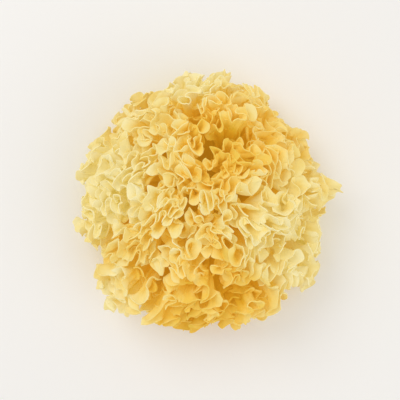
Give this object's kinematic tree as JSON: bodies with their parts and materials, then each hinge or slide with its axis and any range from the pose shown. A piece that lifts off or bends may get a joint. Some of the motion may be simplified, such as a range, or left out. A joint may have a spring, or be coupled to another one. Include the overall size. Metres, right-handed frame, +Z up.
{
  "type": "snow fungus",
  "caption": "Whole snow fungus head: thin translucent ruffled fronds radiating from a hard foot that is cut off flat.",
  "frame": {"origin": "middle of the flat cut under the foot, where the head was cut from its log", "axes": "+Z up out of the cut through the crown; +Y towards the top of the picture, the longest way across the head; +X to the picture's right"},
  "size_m": [0.1659, 0.17, 0.0808],
  "materials": {
    "frond_flesh": "thin, translucent, golden between the folds and pale cream along the free edges, waxy satin",
    "hard_flesh": "hard amber-brown flesh, matt where it was cut"
  },
  "bodies": {
    "root": {"foot": "hard_flesh", "crown_frond_01": "frond_flesh", "crown_frond_02": "frond_flesh", "crown_frond_03": "frond_flesh", "crown_frond_04": "frond_flesh", "crown_frond_05": "frond_flesh", "crown_frond_06": "frond_flesh", "crown_frond_07": "frond_flesh", "crown_frond_08": "frond_flesh", "shoulder_frond_09": "frond_flesh", "shoulder_frond_10": "frond_flesh", "shoulder_frond_11": "frond_flesh", "shoulder_frond_12": "frond_flesh", "shoulder_frond_13": "frond_flesh", "shoulder_frond_14": "frond_flesh", "shoulder_frond_15": "frond_flesh", "shoulder_frond_16": "frond_flesh", "shoulder_frond_17": "frond_flesh", "shoulder_frond_18": "frond_flesh", "shoulder_frond_19": "frond_flesh", "shoulder_frond_20": "frond_flesh", "shoulder_frond_21": "frond_flesh", "shoulder_frond_22": "frond_flesh", "skirt_frond_23": "frond_flesh", "skirt_frond_24": "frond_flesh", "skirt_frond_25": "frond_flesh", "skirt_frond_26": "frond_flesh", "skirt_frond_27": "frond_flesh", "skirt_frond_28": "frond_flesh", "skirt_frond_29": "frond_flesh", "skirt_frond_30": "frond_flesh", "skirt_frond_31": "frond_flesh", "skirt_frond_32": "frond_flesh", "skirt_frond_33": "frond_flesh", "skirt_frond_34": "frond_flesh", "skirt_frond_35": "frond_flesh", "skirt_frond_36": "frond_flesh", "skirt_frond_37": "frond_flesh", "skirt_frond_38": "frond_flesh"}
  },
  "joints": []
}
